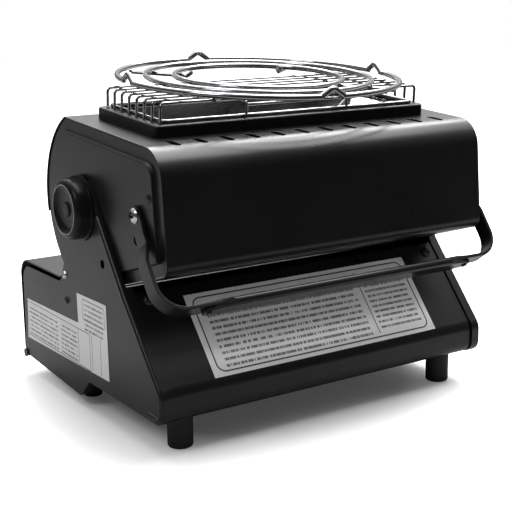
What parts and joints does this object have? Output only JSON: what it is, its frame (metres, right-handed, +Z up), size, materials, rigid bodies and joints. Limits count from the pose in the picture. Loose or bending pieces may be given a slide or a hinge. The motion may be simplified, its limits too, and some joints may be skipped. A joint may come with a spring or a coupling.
{
  "type": "portable propane heater",
  "caption": "Gas cartridge heater and cooker: a burner head with guard and pan rings tilts on a folded steel base with a cartridge bay and carrying handle.",
  "frame": {"origin": "on the floor under the middle of the heater's bounding box", "axes": "+X along the heater's width to the right as the label side is faced from -Y, +Y towards the control knob and cartridge lid, +Z up"},
  "size_m": [0.2976, 0.2563, 0.2475],
  "materials": {
    "base_steel": "satin black powder coat",
    "panel_steel": "satin black powder coat",
    "head_steel": "satin black heat-proof paint",
    "end_steel": "satin black heat-proof paint",
    "strap_steel": "satin black paint",
    "grip_steel": "satin black paint",
    "zinc_steel": "zinc plated",
    "bright_wire": "bright chrome plate",
    "bright_screw": "bright nickel plate",
    "dark_screw": "black oxide",
    "polished_steel": "polished stainless steel",
    "gas_brass": "machined brass",
    "cast_alloy": "die cast",
    "black_rubber": "matt moulded rubber",
    "knob_plastic": "moulded heat-proof plastic",
    "piezo_plastic": "gloss moulded plastic",
    "silver_label": "silver foil",
    "ceramic": "fired ceramic",
    "mesh_wire": "heat-proof steel"
  },
  "bodies": {
    "base": {"left_side_plate": "base_steel", "right_side_plate": "base_steel", "back_panel": "panel_steel", "base_pan": "base_steel", "deck": "base_steel", "bay_wall": "base_steel", "bay_end_wall": "base_steel", "control_panel": "panel_steel", "cartridge_cradle": "zinc_steel", "back_feet": "black_rubber", "front_feet": "black_rubber", "foot_screws": "zinc_steel", "bright_side_screws": "bright_screw", "dark_side_screws": "dark_screw", "panel_screws": "dark_screw", "panel_label": "silver_label", "side_label": "silver_label", "lid_hinge_pins": "zinc_steel", "regulator": "cast_alloy", "gas_valve": "gas_brass", "piezo_igniter": "piezo_plastic", "gas_tube": "gas_brass", "tube_grommet": "black_rubber", "control_dial": "silver_label", "lever_pin": "zinc_steel"},
    "head": {"head_shell": "head_steel", "left_end_plate": "end_steel", "right_end_plate": "end_steel", "bezel": "head_steel", "reflector": "polished_steel", "burner_box": "zinc_steel", "burner_plaques": "ceramic", "burner_mesh": "mesh_wire", "venturi_tube": "zinc_steel", "injector": "gas_brass", "swivel_fitting": "gas_brass", "heat_shield": "zinc_steel", "guard_frame": "bright_wire", "guard_long_wires": "bright_wire", "guard_cross_wires": "bright_wire", "thermocouple": "mesh_wire", "spark_electrode": "ceramic", "end_plate_rivets": "end_steel", "pivot_bolts": "bright_screw", "pivot_bushes": "zinc_steel", "handle_screws": "bright_screw"},
    "handle": {"handle_strap": "strap_steel", "handle_grip": "grip_steel", "grip_rivets": "grip_steel"},
    "left_knob": {"left_tilt_knob": "knob_plastic"},
    "right_knob": {"right_tilt_knob": "knob_plastic"},
    "control": {"control_knob": "knob_plastic", "valve_stem": "gas_brass"},
    "lever": {"cartridge_lever": "zinc_steel"},
    "fork": {"cartridge_fork": "zinc_steel"},
    "lid": {"cartridge_lid": "panel_steel", "lid_tab": "panel_steel"},
    "pan_support": {"pan_outer_ring": "bright_wire", "pan_inner_rings": "bright_wire", "pan_spokes": "bright_wire"}
  },
  "joints": [
    {"name": "head_tilt", "type": "hinge", "parent": "base", "child": "head", "pos_m": [0, 0, 0.149], "axis": [1, 0, 0], "range_deg": [-95, 0]},
    {"name": "handle_swing", "type": "hinge", "parent": "head", "child": "handle", "pos_m": [0, -0.08103, 0.15598], "axis": [1, 0, 0], "range_deg": [-98, 22]},
    {"name": "left_knob_turn", "type": "hinge", "parent": "head", "child": "left_knob", "pos_m": [-0.1438, 0, 0.149], "axis": [1, 0, 0], "range_deg": [0, 360]},
    {"name": "right_knob_turn", "type": "hinge", "parent": "head", "child": "right_knob", "pos_m": [0.1438, 0, 0.149], "axis": [1, 0, 0], "range_deg": [0, 360]},
    {"name": "control_turn", "type": "hinge", "parent": "base", "child": "control", "pos_m": [0.1, 0.12, 0.042], "axis": [0, 1, 0], "range_deg": [0, 180]},
    {"name": "lever_push", "type": "hinge", "parent": "base", "child": "lever", "pos_m": [0.099, 0.1062, 0.072], "axis": [0, 1, 0], "range_deg": [-25, 0]},
    {"name": "fork_slide", "type": "slide", "parent": "base", "child": "fork", "axis": [1, 0, 0], "range_m": [0, 0.008]},
    {"name": "lid_hinge", "type": "hinge", "parent": "base", "child": "lid", "pos_m": [0, 0.113, 0.0152], "axis": [1, 0, 0], "range_deg": [-90, 0]},
    {"name": "pan_lift", "type": "slide", "parent": "head", "child": "pan_support", "axis": [0, -0.0732, 0.9973], "range_m": [0, 0.09]}
  ],
  "couplings": [
    {"joint": "fork_slide", "follows": "lever_push", "m_per_rad": -0.018},
    {"joint": "pan_lift", "follows": "head_tilt", "m_per_rad": -0.054}
  ]
}
